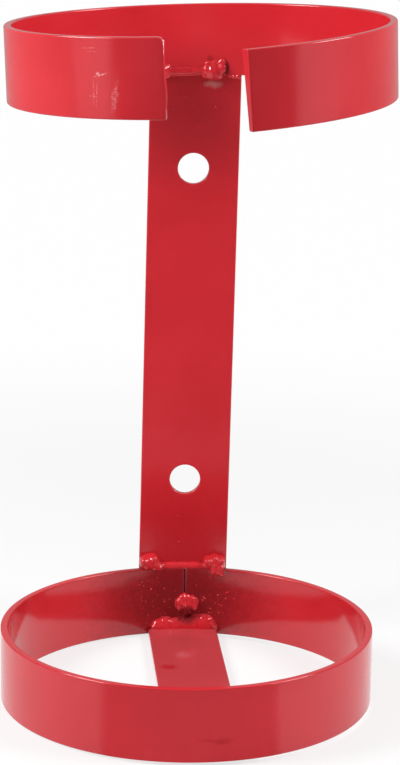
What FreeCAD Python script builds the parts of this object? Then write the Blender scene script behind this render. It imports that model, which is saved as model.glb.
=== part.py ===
import FreeCAD, Part
import math
import os

# Wall bracket for a portable fire extinguisher, welded from four lengths of flat steel bar and painted.
# Frame: millimetres, X to the right, Y into the wall, Z up.
# The origin lies on the wall face of the back plate, midway between its two screw holes.

# Flat bar that the rings and the base strip are cut from
BAR_WIDTH = 25.0
BAR_THICKNESS = 2.5
EDGE_ROUNDING = 0.5

# Back plate
PLATE_WIDTH = 32.0
PLATE_LENGTH = 225.0
PLATE_THICKNESS = 2.5
PLATE_CORNER_RADIUS = 1.0
SCREW_HOLE_DIAMETER = 11.0
SCREW_HOLE_SPACING = 114.0
SCREW_HOLE_BREAK = 0.25

# Left between pieces that touch, so that none runs into another
TOUCH_CLEARANCE = 0.003
# Two lengths closer than this count as the same
SAME_LENGTH = 1e-6

# Rings, measured where they touch the plate
RING_OUTER_DIAMETER = 127.0
RING_OVERHANG = 2.5

# The lower ring is a closed hoop with a butt seam behind; its right side sits a little high
LOWER_RING_LEAN_DEG = 0.98
SEAM_GAP = 0.4
SEAM_OFFSET = 1.2

# The upper ring is open at the front; its right side sits high and its two ends have sprung out of line
UPPER_RING_LEAN_DEG = 3.15
LEFT_END_TURN_DEG = 167.9
RIGHT_END_TURN_DEG = 168.6
COIL_RISE_PER_TURN = 3.15
RIGHT_ARM_DROOP = 1.5
SNIPPED_CORNER_RADIUS = 2.0
SNIP_DEPTH = 0.96
PATH_STEPS = 32

# Base strip across the lower ring, which the cylinder stands on
STRIP_SKEW_DEG = 2.45
STRIP_OFFSET = 2.9
STRIP_END_CLEARANCE = 0.2

# Weld beads. Each is a row of lumps, and a lump is a ball given by
# its place across the joint, its rise above the joint's edge, its radius and how far it stands proud.
# Places and rises are in bead sizes, so a bead grows and shrinks as one.
TACK_SIZE = 3.0
TACK_INSET = 2.6
ROOT_PITCH = 0.9
ROOT_GROWTH = 0.04
LOWER_LEFT_LUMPS = ((0.0, 0.6, 0.92, 0.3), (0.7, 0.7, 0.92, 0.22), (1.3, 0.25, 0.75, 0.15))
LOWER_RIGHT_LUMPS = ((-0.1, 0.6, 0.8, 0.3), (0.5, 0.6, 0.85, 0.25), (1.15, 0.45, 0.72, 0.33),
                     (0.35, -0.15, 0.7, 0.38), (-0.3, -0.5, 0.5, 0.3))
UPPER_LEFT_LUMPS = ((0.0, -0.1, 0.85, 0.3), (0.75, 0.45, 0.75, 0.5), (1.15, -0.15, 0.7, 0.4))
UPPER_RIGHT_LUMPS = ((0.0, -0.3, 0.55, 0.24), (0.55, -0.25, 0.5, 0.3))
CENTRE_TACK_SIZE = 3.0
CENTRE_TACK_PLACE = 5.9
CENTRE_TACK_LUMPS = ((-0.45, 0.1, 0.95, 0.55), (-0.25, 0.85, 0.85, 0.5), (0.1, 0.45, 1.0, 0.65),
                     (0.45, 1.0, 0.78, 0.5), (0.4, 0.1, 0.85, 0.55))
RUN_RADIUS = 1.9
RUN_RISE = 0.75
RUN_PROUD = 0.75
RUN_PITCH = 1.5
RUN_RIPPLE = 0.12
SEAM_TACK_SIZE = 4.4
SEAM_TACK_HEIGHT = 11.3
SEAM_TACK_LUMPS = ((-0.3, 0.05, 0.85, 0.42), (-0.1, 0.6, 0.6, 0.36), (0.4, 0.2, 0.75, 0.4), (0.1, -0.3, 0.85, 0.4))
FILLET_WIDTH = 22.0
FILLET_SIZE = 4.6
FILLET_PROUD = 2.6
FILLET_LUMPS = ((0.0, 1.0), (0.2, 0.95), (0.4, 0.8), (0.58, 0.85), (0.78, 1.05), (1.0, 1.1))
FRONT_TACK_SIZE = 3.6
FRONT_TACK_PROUD = 2.2
FRONT_TACK_INSET = 3.4
FRONT_TACK_LUMPS = ((0.0, 1.0), (0.8, 0.85))

# Sizes that follow from those above
PLATE_FRONT = -PLATE_THICKNESS
OUTER_RADIUS = RING_OUTER_DIAMETER / 2
INNER_RADIUS = OUTER_RADIUS - BAR_THICKNESS
MID_RADIUS = OUTER_RADIUS - BAR_THICKNESS / 2
RING_CENTRE = PLATE_FRONT - TOUCH_CLEARANCE - OUTER_RADIUS
LOWER_BOTTOM = -PLATE_LENGTH / 2 - RING_OVERHANG
UPPER_BOTTOM = PLATE_LENGTH / 2 + RING_OVERHANG - BAR_WIDTH
UPPER_LEAN = math.radians(UPPER_RING_LEAN_DEG)
LOWER_LEAN = math.radians(LOWER_RING_LEAN_DEG)
COIL_SLOPE = COIL_RISE_PER_TURN / (2 * math.pi * MID_RADIUS)

UP = FreeCAD.Vector(0, 0, 1)
INTO_WALL = FreeCAD.Vector(0, 1, 0)


def lean(shape, angle, height):
    """Turn a shape about the line through the plate's middle at this height, so its right side rises."""
    turned = shape.copy()
    turned.rotate(FreeCAD.Vector(0, 0, height), INTO_WALL, -math.degrees(angle))
    return turned


def bar_section(centre, across, along, thickness, width):
    """Rolled flat bar in section: a rectangle with its four corners rounded."""
    r = EDGE_ROUNDING
    bow = r * (1 - math.sqrt(0.5))
    edges = []
    last = None
    corners = ((1, 1), (-1, 1), (-1, -1), (1, -1))
    for number, (a, b) in enumerate(corners):
        corner = centre + across * (a * thickness / 2) + along * (b * width / 2)
        on_side = corner - along * (b * r)
        on_end = corner - across * (a * r)
        middle = corner - across * (a * bow) - along * (b * bow)
        first, second = (on_side, on_end) if number % 2 == 0 else (on_end, on_side)
        if last is None:
            start = first
        else:
            edges.append(Part.LineSegment(last, first).toShape())
        edges.append(Part.Arc(first, middle, second).toShape())
        last = second
    edges.append(Part.LineSegment(last, start).toShape())
    return Part.Wire(edges)


def back_plate():
    """Flat plate with rounded outline and two punched screw holes."""
    plate = Part.makeBox(PLATE_WIDTH, PLATE_THICKNESS, PLATE_LENGTH,
                         FreeCAD.Vector(-PLATE_WIDTH / 2, PLATE_FRONT, -PLATE_LENGTH / 2))
    corners = [edge for edge in plate.Edges if abs(edge.BoundBox.YLength - PLATE_THICKNESS) < SAME_LENGTH]
    plate = plate.makeFillet(PLATE_CORNER_RADIUS, corners)
    outline = [edge for edge in plate.Edges if edge.BoundBox.YLength < SAME_LENGTH]
    plate = plate.makeFillet(EDGE_ROUNDING, outline)
    hole_radius = SCREW_HOLE_DIAMETER / 2
    for side in (-1, 1):
        front = FreeCAD.Vector(0, PLATE_FRONT, side * SCREW_HOLE_SPACING / 2)
        plate = plate.cut(Part.makeCylinder(hole_radius, PLATE_THICKNESS, front, INTO_WALL))
        plate = plate.cut(Part.makeCone(hole_radius + SCREW_HOLE_BREAK, hole_radius, SCREW_HOLE_BREAK,
                                        front, INTO_WALL))
    return plate


def lower_ring():
    """Hoop of flat bar, standing on its edge, with the hairline butt seam at the back."""
    middle = FreeCAD.Vector(MID_RADIUS, RING_CENTRE, LOWER_BOTTOM + BAR_WIDTH / 2)
    section = bar_section(middle, FreeCAD.Vector(1, 0, 0), UP, BAR_THICKNESS, BAR_WIDTH)
    seam_turn = math.degrees(SEAM_GAP / MID_RADIUS)
    axis = FreeCAD.Vector(0, RING_CENTRE, 0)
    hoop = Part.Face(section).revolve(axis, UP, 360 - seam_turn)
    seam_angle = 90 - math.degrees(SEAM_OFFSET / MID_RADIUS) + seam_turn / 2
    hoop.rotate(axis, UP, seam_angle)
    return lean(hoop, LOWER_LEAN, LOWER_BOTTOM)


def coil_rise(turn):
    """Height gained by the upper ring at this turn from the back, with the left side positive, in degrees."""
    rise = COIL_RISE_PER_TURN * turn / 360
    past_side = max(0.0, -turn - 90) / (RIGHT_END_TURN_DEG - 90)
    return rise - RIGHT_ARM_DROOP * past_side ** 2


def coil_point(turn):
    """Point on the middle line of the upper ring's bar."""
    angle = math.radians(90 + turn)
    height = UPPER_BOTTOM + BAR_WIDTH / 2 + coil_rise(turn)
    return FreeCAD.Vector(MID_RADIUS * math.cos(angle), RING_CENTRE + MID_RADIUS * math.sin(angle), height)


def corner_cutter(corner, tangent, across, along):
    """What is snipped off the corner of an arm's end: a square block that leaves a round of the metal."""
    reach = 4 * BAR_THICKNESS
    margin = BAR_THICKNESS
    round_centre = corner - across * (reach / 2) + (tangent - along) * (SNIPPED_CORNER_RADIUS * SNIP_DEPTH)
    outer = round_centre - (tangent - along) * (SNIPPED_CORNER_RADIUS + margin)
    beside = outer + tangent * (SNIPPED_CORNER_RADIUS + margin)
    below = outer - along * (SNIPPED_CORNER_RADIUS + margin)
    block = Part.Face(Part.makePolygon([outer, beside, round_centre, below, outer])).extrude(across * reach)
    return block.cut(Part.makeCylinder(SNIPPED_CORNER_RADIUS, reach, round_centre, across))


def upper_ring():
    """Open hoop: the bar is swept along a nearly flat coil, and its left end has its top corner snipped."""
    whole_turn = LEFT_END_TURN_DEG + RIGHT_END_TURN_DEG
    turns = [LEFT_END_TURN_DEG - whole_turn * step / PATH_STEPS for step in range(PATH_STEPS + 1)]
    line = Part.BSplineCurve()
    line.interpolate([coil_point(turn) for turn in turns])
    start = line.value(line.FirstParameter)
    tangent = line.tangent(line.FirstParameter)[0]
    across = tangent.cross(UP).normalize()
    along = across.cross(tangent).normalize()
    section = bar_section(start, across, along, BAR_THICKNESS, BAR_WIDTH)
    hoop = Part.Wire([line.toShape()]).makePipeShell([section], True, True)
    top_corner = start + along * (BAR_WIDTH / 2)
    hoop = hoop.cut(corner_cutter(top_corner, tangent, across, along))
    return lean(hoop, UPPER_LEAN, UPPER_BOTTOM)


def strip_half_length():
    """The strip's square ends stop where their outer corner almost meets the hoop."""
    return math.sqrt((INNER_RADIUS - STRIP_END_CLEARANCE) ** 2 - (BAR_WIDTH / 2 + STRIP_OFFSET) ** 2)


def place_on_strip(shape):
    """Carry a shape drawn along Y over the hoop's middle to the strip's own line, then lean it with the hoop."""
    placed = shape.copy()
    placed.translate(FreeCAD.Vector(STRIP_OFFSET, RING_CENTRE, LOWER_BOTTOM))
    placed.rotate(FreeCAD.Vector(0, RING_CENTRE, 0), UP, STRIP_SKEW_DEG)
    return lean(placed, LOWER_LEAN, LOWER_BOTTOM)


def base_strip():
    """Flat bar lying in the bottom of the lower ring, from back to front."""
    half = strip_half_length()
    middle = FreeCAD.Vector(0, -half, BAR_THICKNESS / 2)
    section = bar_section(middle, UP, FreeCAD.Vector(1, 0, 0), BAR_THICKNESS, BAR_WIDTH)
    return place_on_strip(Part.Face(section).extrude(FreeCAD.Vector(0, 2 * half, 0)))


def join(lumps):
    """Fuse overlapping lumps into one bead."""
    return lumps[0].multiFuse(lumps[1:]).removeSplitter()


def wall_depth(across):
    """How far back the hoop's inner wall lies, this far to one side of its middle."""
    return math.sqrt(INNER_RADIUS ** 2 - across ** 2)


def edge_bead(places, bottom, edge, angle, coil):
    """Bead in the corner of the plate and one edge of a hoop.

    Every place is x, rise above the edge, radius and stand-off from the hoop's inner wall. Each lump is a ball
    with others behind it as far as the plate, and the bead stops at the plate's front and at the hoop.
    """
    lumps = []
    for x, rise, radius, proud in places:
        centre = FreeCAD.Vector(x, RING_CENTRE + wall_depth(x) + radius - proud, edge + rise)
        depth = max(0.0, PLATE_FRONT - centre.y)
        behind = math.ceil(depth / (radius * ROOT_PITCH))
        for step in range(behind + 1):
            place = centre + INTO_WALL * (depth * step / max(behind, 1))
            lumps.append(Part.makeSphere(radius * (1 + ROOT_GROWTH * step), place))
    reach = RING_OUTER_DIAMETER
    front = Part.makeBox(2 * reach, reach, 2 * PLATE_LENGTH,
                         FreeCAD.Vector(-reach, PLATE_FRONT - reach, -PLATE_LENGTH))
    axis_foot = FreeCAD.Vector(0, RING_CENTRE, bottom)
    band = Part.makeCylinder(reach, BAR_WIDTH + 2 * TOUCH_CLEARANCE, axis_foot - UP * TOUCH_CLEARANCE)
    band = lean(band, -coil, bottom)
    bore = Part.makeCylinder(INNER_RADIUS - TOUCH_CLEARANCE, 4 * BAR_WIDTH, axis_foot - UP * (2 * BAR_WIDTH))
    band = band.cut(bore)
    bead = lean(join(lumps), -coil, bottom).cut(band)
    return lean(bead, angle, bottom).common(front)


def tack_places(start, side, size, lumps):
    """Lumps in bead sizes turned to millimetres from this start, going right or left."""
    return [(start + side * place * size, rise * size, radius * size, proud * size)
            for place, rise, radius, proud in lumps]


def lower_edge_bead(places):
    """Bead on the top edge of the lower ring."""
    return edge_bead(places, LOWER_BOTTOM, LOWER_BOTTOM + BAR_WIDTH, LOWER_LEAN, 0)


def upper_edge_bead(places):
    """Bead on the bottom edge of the upper ring, which runs along the coil's own slope."""
    return edge_bead(places, UPPER_BOTTOM, UPPER_BOTTOM, UPPER_LEAN, math.atan(COIL_SLOPE))


def run_places():
    """The thin run between the left and the centre tack, rippled by the welder's hand."""
    start = -PLATE_WIDTH / 2 + TACK_INSET + TACK_SIZE
    end = CENTRE_TACK_PLACE - CENTRE_TACK_SIZE
    count = max(2, round((end - start) / RUN_PITCH))
    places = []
    for step in range(count + 1):
        ripple = RUN_RIPPLE * math.sin(2.4 * step)
        places.append((start + (end - start) * step / count, RUN_RISE + ripple, RUN_RADIUS,
                       RUN_PROUD + ripple))
    return places


def inner_bead(balls):
    """Bead on the inner wall of the lower ring: what lies inside the hoop's own height and bore."""
    bore = Part.makeCylinder(INNER_RADIUS, BAR_WIDTH, FreeCAD.Vector(0, RING_CENTRE, LOWER_BOTTOM))
    return join(balls).common(bore)


def seam_tack():
    """Tack that closes the butt seam on the lower ring's inner wall."""
    balls = []
    for place, rise, radius, proud in SEAM_TACK_LUMPS:
        across = SEAM_OFFSET + place * SEAM_TACK_SIZE
        y = RING_CENTRE + wall_depth(across) + (radius - proud) * SEAM_TACK_SIZE
        height = LOWER_BOTTOM + SEAM_TACK_HEIGHT + rise * SEAM_TACK_SIZE
        balls.append(Part.makeSphere(radius * SEAM_TACK_SIZE, FreeCAD.Vector(across, y, height)))
    return lean(inner_bead(balls), LOWER_LEAN, LOWER_BOTTOM)


def strip_bead(end, start, width, size, proud, lumps):
    """Fillet between one end of the base strip and the hoop: it fills the gap and climbs the wall."""
    balls = []
    skew = math.radians(STRIP_SKEW_DEG)
    for place, scale in lumps:
        across = start + width * place
        spread = size * scale
        radius = (spread ** 2 + proud ** 2) / (2 * proud)
        along = end * (wall_depth(across) + radius - proud)
        x = across * math.cos(skew) - along * math.sin(skew)
        y = RING_CENTRE + across * math.sin(skew) + along * math.cos(skew)
        balls.append(Part.makeSphere(radius, FreeCAD.Vector(x, y, LOWER_BOTTOM + BAR_THICKNESS)))
    return lean(inner_bead(balls), LOWER_LEAN, LOWER_BOTTOM).cut(base_strip())


def strip_rear_weld():
    """Full fillet over the rear end of the strip."""
    start = STRIP_OFFSET - FILLET_WIDTH / 2 + FILLET_SIZE / 2
    bead = strip_bead(1, start, FILLET_WIDTH - FILLET_SIZE, FILLET_SIZE, FILLET_PROUD, FILLET_LUMPS)
    return bead.cut(seam_tack())


def strip_front_tack(side):
    """Short tack at one corner of the strip's front end."""
    start = STRIP_OFFSET + side * (BAR_WIDTH / 2 - FRONT_TACK_INSET)
    return strip_bead(-1, start, -side * FRONT_TACK_SIZE, FRONT_TACK_SIZE, FRONT_TACK_PROUD, FRONT_TACK_LUMPS)


def build():
    """Every piece by name; where two beads of one joint meet, the later one stops at the earlier."""
    left = -PLATE_WIDTH / 2 + TACK_INSET
    right = PLATE_WIDTH / 2 - TACK_INSET
    centre_tack = upper_edge_bead(tack_places(CENTRE_TACK_PLACE, 1, CENTRE_TACK_SIZE, CENTRE_TACK_LUMPS))
    left_tack = upper_edge_bead(tack_places(left, 1, TACK_SIZE, UPPER_LEFT_LUMPS))
    return {
        "back_plate": back_plate(),
        "lower_ring": lower_ring(),
        "upper_ring": upper_ring(),
        "base_strip": base_strip(),
        "lower_left_tack": lower_edge_bead(tack_places(left, 1, TACK_SIZE, LOWER_LEFT_LUMPS)),
        "lower_right_tack": lower_edge_bead(tack_places(right, -1, TACK_SIZE, LOWER_RIGHT_LUMPS)),
        "upper_left_tack": left_tack,
        "upper_centre_tack": centre_tack,
        "upper_bead": upper_edge_bead(run_places()).cut(centre_tack).cut(left_tack),
        "upper_right_tack": upper_edge_bead(tack_places(right, -1, TACK_SIZE, UPPER_RIGHT_LUMPS)),
        "seam_tack": seam_tack(),
        "strip_rear_weld": strip_rear_weld(),
        "strip_front_left_tack": strip_front_tack(-1),
        "strip_front_right_tack": strip_front_tack(1),
    }


os.makedirs("parts", exist_ok=True)
for name, shape in build().items():
    shape.exportStep(os.path.join("parts", name + ".step"))
    print(name, "solids", len(shape.Solids), "valid", shape.isValid(), "volume", round(shape.Volume, 1))
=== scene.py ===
# %% [markdown]
# # A welded wall bracket for a fire extinguisher
#
# Four lengths of flat steel bar make this bracket: a plate that is screwed to the wall, an open hoop that
# steadies the cylinder, a closed hoop that its foot stands in, and a strip under the foot. Lumps of weld
# hold them together, and one coat of red gloss enamel covers everything.
#
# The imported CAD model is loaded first. It fixes every size and place, so all that follows is worked out in
# its frame: X to the right, Y into the wall, Z up, with the origin between the two screw holes.

# %% Load the frame
import math

import bpy
import numpy as np
from mathutils import Matrix, Vector


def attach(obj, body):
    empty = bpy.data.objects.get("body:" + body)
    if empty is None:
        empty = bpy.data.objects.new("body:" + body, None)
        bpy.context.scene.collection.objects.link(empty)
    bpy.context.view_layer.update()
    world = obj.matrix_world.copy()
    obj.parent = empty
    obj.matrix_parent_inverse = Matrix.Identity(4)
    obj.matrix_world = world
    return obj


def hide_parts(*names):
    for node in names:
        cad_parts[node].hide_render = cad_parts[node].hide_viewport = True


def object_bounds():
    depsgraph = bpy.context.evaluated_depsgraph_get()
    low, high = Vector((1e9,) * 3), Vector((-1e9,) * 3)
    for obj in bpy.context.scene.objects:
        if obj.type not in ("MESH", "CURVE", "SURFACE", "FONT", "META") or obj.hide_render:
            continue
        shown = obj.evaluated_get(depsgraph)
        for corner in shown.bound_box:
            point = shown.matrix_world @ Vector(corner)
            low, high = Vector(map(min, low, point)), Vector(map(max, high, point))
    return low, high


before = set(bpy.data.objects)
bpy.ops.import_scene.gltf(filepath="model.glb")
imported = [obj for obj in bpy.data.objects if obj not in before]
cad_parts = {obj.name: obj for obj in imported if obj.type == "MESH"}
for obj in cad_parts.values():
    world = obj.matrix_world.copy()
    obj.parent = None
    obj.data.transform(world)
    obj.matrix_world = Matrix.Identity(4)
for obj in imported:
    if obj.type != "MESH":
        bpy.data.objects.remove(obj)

CAD_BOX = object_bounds()
MM = 0.001
print("CAD box in mm:", [[round(c / MM, 2) for c in corner] for corner in CAD_BOX])

# %% [markdown]
# ## The camera
#
# The photograph was taken with a long lens from a little above and to the left. The place, the turn and the
# focal length come from fitting the hoops, the plate and the two holes to the picture. The lens length is
# the focal length in picture heights times the sensor's long side.

# %% Camera
PICTURE_HEIGHT = 765
FOCAL_PIXELS = 2483.48
CAMERA_PLACE_MM = (-31.788, -871.303, 190.803)
CAMERA_YAW, CAMERA_PITCH, CAMERA_ROLL = 0.0417, 0.2385, 0.0288

camera_data = bpy.data.cameras.new("camera")
camera_data.sensor_width = 36.0
camera_data.lens = FOCAL_PIXELS * camera_data.sensor_width / PICTURE_HEIGHT
camera_data.clip_start, camera_data.clip_end = 0.05, 60.0
camera = bpy.data.objects.new("camera", camera_data)
bpy.context.scene.collection.objects.link(camera)
bpy.context.scene.camera = camera

forward = Vector((math.sin(CAMERA_YAW) * math.cos(CAMERA_PITCH), math.cos(CAMERA_YAW) * math.cos(CAMERA_PITCH),
                  -math.sin(CAMERA_PITCH)))
level_right = Vector((math.cos(CAMERA_YAW), -math.sin(CAMERA_YAW), 0.0))
level_up = level_right.cross(forward)
right = level_right * math.cos(CAMERA_ROLL) + level_up * math.sin(CAMERA_ROLL)
up = level_up * math.cos(CAMERA_ROLL) - level_right * math.sin(CAMERA_ROLL)
turn = Matrix((right, up, -forward)).transposed().to_4x4()
camera.matrix_world = Matrix.Translation(Vector(CAMERA_PLACE_MM) * MM) @ turn
print("lens %.1f mm" % camera_data.lens)

# %% [markdown]
# ## How a surface is laid
#
# Every piece is a grid of points worked out by a formula, and two small helpers turn such a grid into a
# mesh. The first numbers the corners of the faces between neighbouring rows and columns. The second makes
# the object, checks by the volume that its faces look outwards, and lets it stand for its CAD solid.

# %% Grid and mesh helpers
def grid_faces(rows, columns, wrap=True):
    """Corners of the faces between neighbours on a grid numbered row by row.

    With wrap the last column is joined to the first.
    """
    number = np.arange(rows * columns).reshape(rows, columns)
    here, beside = (number, np.roll(number, -1, axis=1)) if wrap else (number[:, :-1], number[:, 1:])
    return np.stack([here[:-1], beside[:-1], beside[1:], here[1:]], axis=-1).reshape(-1, 4)


def fan_faces(ring, centre):
    """Triangles from each pair of neighbours on a closed ring of points to one centre point."""
    return np.stack([ring, np.roll(ring, -1), np.full(len(ring), centre)], axis=-1)


def volume_of(points, faces):
    """A sixth of the sum of the triple products of each triangle's corners."""
    total = 0.0
    for part in faces:
        for a, b, c in ((0, 1, 2), (0, 2, 3))[:part.shape[1] - 2]:
            across = np.cross(points[part[:, b]], points[part[:, c]])
            total += np.einsum("ij,ij->", points[part[:, a]], across) / 6
    return total


def lay_piece(name, points, faces, stands_for=None):
    """Make one closed piece from points in millimetres and a list of face arrays."""
    points = np.asarray(points, float).reshape(-1, 3)
    faces = [np.asarray(part) for part in faces]
    volume = volume_of(points, faces)
    if volume < 0:
        faces = [part[:, ::-1] for part in faces]
    mesh = bpy.data.meshes.new(name)
    mesh.from_pydata((points * MM).tolist(), [], [corner for part in faces for corner in part.tolist()])
    mesh.polygons.foreach_set("use_smooth", np.ones(len(mesh.polygons), bool))
    mesh.validate()
    piece = bpy.data.objects.new(name, mesh)
    bpy.context.scene.collection.objects.link(piece)
    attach(piece, "root")
    if stands_for:
        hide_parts(stands_for)
    print("%-22s %6d faces, %9.1f mm3" % (name, len(mesh.polygons), abs(volume)))
    return piece


# %% [markdown]
# ## Flat bar
#
# Hot-rolled flat bar is not a sharp box: the rolls leave its four long corners round, and gloss paint rounds
# them a little more. That small round is what catches the light along every edge here. A cube with a bevel
# would do for one straight bar, but the bars here are bent, so the section is worked out as a loop of points
# and carried along a line. Extra points next to each round keep the broad faces flat when they are shaded.

# %% The bar's section
BAR_WIDTH = 25.0
BAR_THICKNESS = 2.5
EDGE_ROUND = 0.5
SKIN = 0.012          # drawn in by this much, so that no facet stands outside the CAD box
ARC_STEPS = 8
QUARTERS = ((1, 1), (-1, 1), (-1, -1), (1, -1))
THIN_SIDE_SHARES = np.array([0.04, 0.5, 0.96])
WIDE_SIDE_SHARES = np.array([0.008, 0.03, 0.1, 0.2, 0.35, 0.5, 0.65, 0.8, 0.9, 0.97, 0.992])


def bar_section(inset=0.0):
    """Closed loop of (through, along) places: a rectangle drawn in by inset, each corner a quarter circle.

    After each quarter circle come points on the side that follows it, crowded towards the side's ends.
    """
    radius = max(EDGE_ROUND - inset, 0.08)
    core = np.array([BAR_THICKNESS, BAR_WIDTH]) / 2 - SKIN - inset - radius
    turn = np.linspace(0, np.pi / 2, ARC_STEPS)
    arcs = []
    for number, signs in enumerate(QUARTERS):
        angle = turn + number * np.pi / 2
        arcs.append(core * signs + radius * np.stack([np.cos(angle), np.sin(angle)], axis=-1))
    loop = []
    for number, arc in enumerate(arcs):
        share = (THIN_SIDE_SHARES, WIDE_SIDE_SHARES)[number % 2][:, None]
        loop += [arc, arc[-1] * (1 - share) + arcs[(number + 1) % 4][0] * share]
    return np.concatenate(loop)


print("points round the bar:", len(bar_section()))

# %% [markdown]
# ## Carrying the section along a line
#
# A bar is its section carried along the line of its middle. Each end is closed with a small round, made of
# sections that step inwards, and a flat fan. The place of a point is a function of how far along the line it
# is, so an end can be cut to any outline: a function says how much metal is missing there, and the points
# near the end slide along the bar by that much. Cutting with a Boolean would leave long thin triangles.

# %% Sweep a bar
END_ROUND = 0.25
END_STEPS = 5
END_MARGIN = 0.15


def swept_bar(line_place, length, rows, start_cut=None, end_cut=None, reach=14.0):
    """Points and faces of a bar with closed ends.

    line_place(distance, through, along) gives points for arrays of one shape. The rows are even between the
    end rounds. A cut is a function of through and along that gives the missing length; it fades over reach.
    """
    turn = np.linspace(0, np.pi / 2, END_STEPS)
    near = np.concatenate([[0.0], END_ROUND * (1 - np.cos(turn))])
    drawn_in = np.concatenate([[END_ROUND + END_MARGIN], END_ROUND * (1 - np.sin(turn))])
    body = np.linspace(END_ROUND, length - END_ROUND, rows)[1:-1]
    distance = np.concatenate([near, body, length - near[::-1]])
    inset = np.concatenate([drawn_in, np.zeros(len(body)), drawn_in[::-1]])
    plain = bar_section()
    section = np.stack([bar_section(value) if value else plain for value in inset])
    distance = np.repeat(distance[:, None], section.shape[1], axis=1)
    through, along = section[..., 0], section[..., 1]
    if start_cut:
        distance = distance + start_cut(through, along) * np.clip(1 - distance / reach, 0, 1) ** 2
    if end_cut:
        distance = distance - end_cut(through, along) * np.clip(1 - (length - distance) / reach, 0, 1) ** 2
    points = line_place(distance, through, along)
    count, around = distance.shape
    centres = np.stack([points[0].mean(axis=0), points[-1].mean(axis=0)])
    faces = [grid_faces(count, around),
             fan_faces(np.arange(around)[::-1], count * around),
             fan_faces(np.arange(around) + (count - 1) * around, count * around + 1)]
    return np.concatenate([points.reshape(-1, 3), centres]), faces


def lean(points, degrees, height):
    """Turn points about the line through X = 0 at this height that runs into the wall; the right side rises."""
    angle = math.radians(degrees)
    x, y, z = points[..., 0], points[..., 1], points[..., 2] - height
    return np.stack([x * math.cos(angle) - z * math.sin(angle), y,
                     height + x * math.sin(angle) + z * math.cos(angle)], axis=-1)


# %% [markdown]
# ## The lower ring
#
# This closed hoop is a straight length of the bar, rolled round and brought end to end. The ends meet behind,
# under the plate, a hair's breadth apart. A Spin of the section would give the hoop, but then the seam would
# have to be cut out of it. Here the line starts at one side of the seam and stops at the other, so both ends
# have their own small round and the seam shows as a fine dark line.

# %% Lower ring
PLATE_WIDTH, PLATE_LENGTH, PLATE_THICKNESS = 32.0, 225.0, 2.5
PLATE_FRONT = -PLATE_THICKNESS
RING_OVERHANG = 2.5
OUTER_RADIUS = 127.0 / 2
INNER_RADIUS = OUTER_RADIUS - BAR_THICKNESS
MID_RADIUS = OUTER_RADIUS - BAR_THICKNESS / 2
RING_CENTRE = PLATE_FRONT - 0.003 - OUTER_RADIUS
LOWER_BOTTOM = -PLATE_LENGTH / 2 - RING_OVERHANG
UPPER_BOTTOM = PLATE_LENGTH / 2 + RING_OVERHANG - BAR_WIDTH
LOWER_LEAN, UPPER_LEAN = 0.98, 3.15
SEAM_OFFSET, SEAM_GAP = 1.2, 0.4
RING_ROWS = 420


def hoop_place(distance, through, along):
    """A level circle from the right side of the seam, by way of the front, to its left side.

    through counts towards the hoop's middle.
    """
    angle = math.pi / 2 - (SEAM_OFFSET + SEAM_GAP / 2 + distance) / MID_RADIUS
    radius = MID_RADIUS - through
    points = np.stack([radius * np.cos(angle), RING_CENTRE + radius * np.sin(angle),
                       LOWER_BOTTOM + BAR_WIDTH / 2 + along], axis=-1)
    return lean(points, LOWER_LEAN, LOWER_BOTTOM)


points, faces = swept_bar(hoop_place, 2 * math.pi * MID_RADIUS - SEAM_GAP, RING_ROWS)
lower_hoop = lay_piece("lower_hoop", points, faces, "lower_ring")

# %% [markdown]
# ## The upper ring
#
# The upper hoop is left open in front, and its ends have sprung out of line: the left arm stands higher than
# the right one, and both rise to the right with the whole ring. So its line is a slow coil, a circle that
# climbs as it turns, with a droop added over the last quarter of the right arm. The left end has its upper
# corner snipped round. The right end was cut out of square, so more of its inner wall is left than of its
# outer one, which shows as a bright strip beside the gap.

# %% Upper ring
LEFT_TURN, RIGHT_TURN = 167.9, 168.6
COIL_RISE = 3.15
ARM_DROOP = 1.5
SNIP_RADIUS = 2.0
SWELL, SWELL_HEIGHT, SWELL_SPREAD = 0.4, -5.0, 3.0
INNER_LEFT_OVER, INNER_MORE_ABOVE = 0.75, 0.65
OUTER_LEFT_OVER, OUTER_LESS_ABOVE = 0.25, 0.15


def coil_centre(turn):
    """A circle that climbs steadily to the left, less a droop on the right arm.

    The droop grows as the square of the way past the side.
    """
    angle = np.radians(90 + turn)
    past_side = np.maximum(0, -turn - 90) / (RIGHT_TURN - 90)
    rise = COIL_RISE * turn / 360 - ARM_DROOP * past_side ** 2
    return np.stack([MID_RADIUS * np.cos(angle), RING_CENTRE + MID_RADIUS * np.sin(angle),
                     UPPER_BOTTOM + BAR_WIDTH / 2 + rise], axis=-1)


def coil_place(distance, through, along):
    """The coil's centre line, with the bar's width square to the line and its thickness level, inwards."""
    turn = LEFT_TURN - np.degrees(distance / MID_RADIUS)
    ahead = coil_centre(turn - 0.01) - coil_centre(turn + 0.01)
    ahead /= np.linalg.norm(ahead, axis=-1, keepdims=True)
    inwards = np.cross(ahead, [0.0, 0.0, 1.0])
    inwards /= np.linalg.norm(inwards, axis=-1, keepdims=True)
    upwards = np.cross(inwards, ahead)
    points = coil_centre(turn) + inwards * through[..., None] + upwards * along[..., None]
    return lean(points, UPPER_LEAN, UPPER_BOTTOM)


def left_cut(through, along):
    """A quarter circle off the upper corner, and a small swelling low on the sawn edge."""
    above = np.clip(along - (BAR_WIDTH / 2 - SNIP_RADIUS), 0, SNIP_RADIUS)
    swell = SWELL * np.exp(-((along - SWELL_HEIGHT) / SWELL_SPREAD) ** 2)
    return SNIP_RADIUS - np.sqrt(SNIP_RADIUS ** 2 - above ** 2) - swell


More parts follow.
